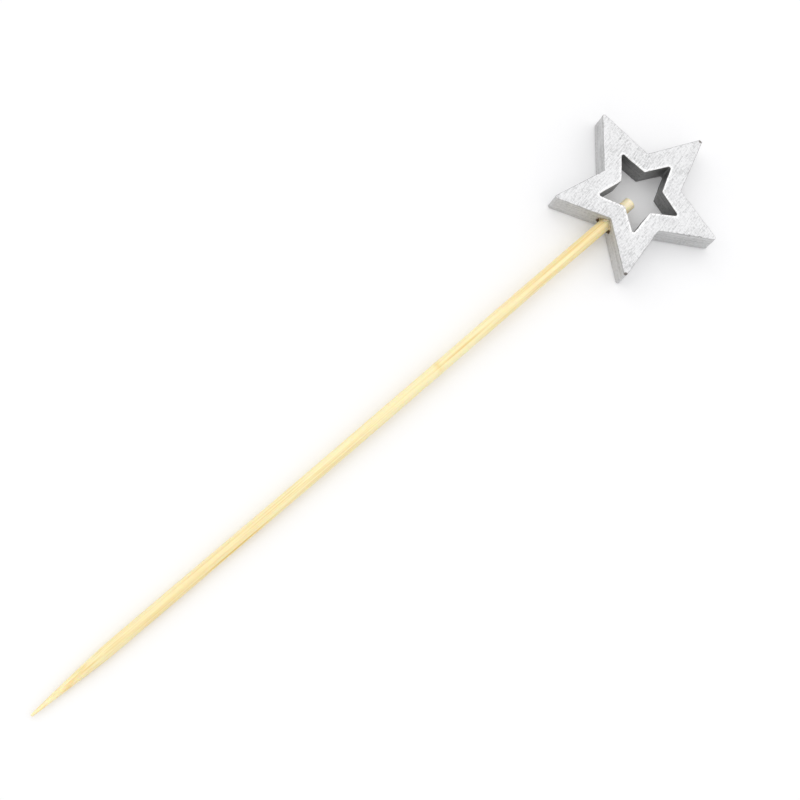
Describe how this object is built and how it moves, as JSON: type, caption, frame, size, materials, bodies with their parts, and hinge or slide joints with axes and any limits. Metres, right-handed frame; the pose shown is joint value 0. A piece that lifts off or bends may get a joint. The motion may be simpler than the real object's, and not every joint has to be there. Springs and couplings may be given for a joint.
{
  "type": "bamboo fruit skewer",
  "caption": "Round pointed bamboo stick glued into the lower notch of a thick silver-painted wooden star with a star-shaped window; for serving fruit.",
  "frame": {"origin": "under the middle of the whole length, on the plane of the star's back face", "axes": "+Y along the stick, from its point towards the star; +Z out of the star's front face; +X across the star"},
  "size_m": [0.0326, 0.1688, 0.006],
  "materials": {
    "silver_paint": "metallic silver paint sprayed over sanded wood, satin, with the grain showing through",
    "bamboo": "bare bamboo, turned round and sanded, with fine long fibres",
    "glue": "dried wood glue, slightly glossy"
  },
  "bodies": {
    "root": {"star": "silver_paint", "bamboo_stick": "bamboo", "glue": "glue"}
  },
  "joints": []
}
